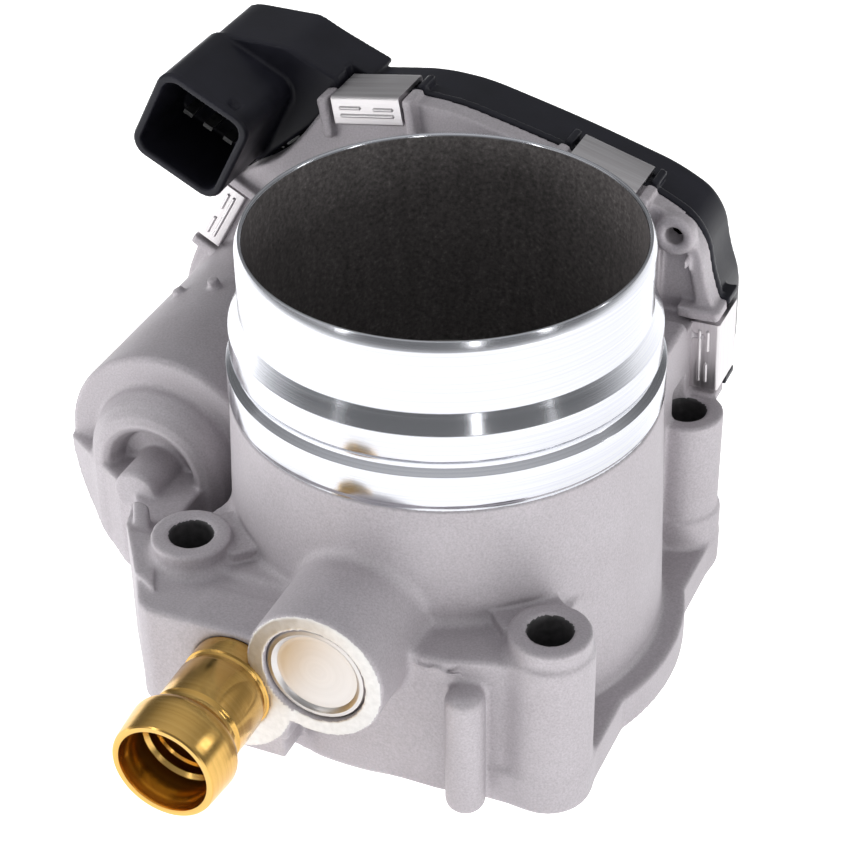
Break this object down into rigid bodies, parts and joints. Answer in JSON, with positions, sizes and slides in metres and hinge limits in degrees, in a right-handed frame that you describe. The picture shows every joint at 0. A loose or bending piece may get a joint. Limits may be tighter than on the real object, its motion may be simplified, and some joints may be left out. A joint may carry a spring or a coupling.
{
  "type": "electronic throttle body",
  "caption": "Drive-by-wire throttle body: cast housing with hose spigot and flange, butterfly valve, motor with reduction gears, clipped gear cover with socket, brass hose port.",
  "frame": {"origin": "centre of the air bore in the plane of the manifold flange", "axes": "+Z along the bore axis towards the hose spigot, +Y along the throttle shaft towards the gear cover, +X from the motor side to the plain side"},
  "size_m": [0.1098, 0.127, 0.0799],
  "materials": {
    "cast_aluminium": "as-cast, fine grain, with machined faces",
    "bright_steel": "bright",
    "brass": "polished",
    "black_plastic": "satin glass-filled",
    "seal_rubber": "matt",
    "coated_steel": "dark phosphate",
    "gear_nylon": "natural nylon",
    "circuit_board": "solder mask",
    "armature_copper": "enamelled copper"
  },
  "bodies": {
    "housing": {"throttle_housing": "cast_aluminium", "core_plug": "bright_steel", "hose_nipple": "brass", "gear_cover": "black_plastic", "cover_seal": "seal_rubber", "connector_pin_1": "bright_steel", "connector_pin_2": "bright_steel", "connector_pin_3": "bright_steel", "connector_pin_4": "bright_steel", "connector_pin_5": "bright_steel", "connector_pin_6": "bright_steel", "cover_clip_top_left": "bright_steel", "cover_clip_top_right": "bright_steel", "cover_clip_right": "bright_steel", "cover_clip_upper_left": "bright_steel", "motor_can": "coated_steel", "motor_magnet_1": "coated_steel", "motor_magnet_2": "coated_steel", "motor_end_plate": "gear_nylon", "motor_terminal_1": "armature_copper", "motor_terminal_2": "armature_copper", "motor_screw_1": "bright_steel", "motor_screw_2": "bright_steel", "front_bearing": "bright_steel", "rear_bearing": "bright_steel", "front_shaft_seal": "seal_rubber", "rear_shaft_seal": "seal_rubber", "return_spring": "bright_steel", "sensor_board": "circuit_board", "intermediate_gear_pin": "bright_steel"},
    "valve": {"throttle_shaft": "bright_steel", "throttle_plate": "brass", "plate_screw_1": "bright_steel", "plate_screw_2": "bright_steel", "throttle_gear": "gear_nylon", "sensor_magnet": "coated_steel"},
    "idler": {"intermediate_gear": "gear_nylon"},
    "rotor": {"motor_shaft": "bright_steel", "motor_armature": "armature_copper", "motor_pinion": "brass"}
  },
  "joints": [
    {"name": "throttle_turn", "type": "hinge", "parent": "housing", "child": "valve", "pos_m": [0, 0, 0.0266], "axis": [0, 1, 0], "range_deg": [0, 83], "stiffness_Nm_per_rad": 0.25, "springref_deg": -20.05, "deforming": ["return_spring"]},
    {"name": "idler_turn", "type": "hinge", "parent": "housing", "child": "idler", "pos_m": [-0.0287, 0, 0.03533], "axis": [0, 1, 0], "range_deg": [-334, 2]},
    {"name": "motor_turn", "type": "hinge", "parent": "housing", "child": "rotor", "pos_m": [-0.0497, 0, 0.0237], "axis": [0, 1, 0], "range_deg": [-4, 1332]}
  ],
  "couplings": [
    {"joint": "idler_turn", "follows": "throttle_turn", "ratio": -4},
    {"joint": "motor_turn", "follows": "throttle_turn", "ratio": 16}
  ]
}
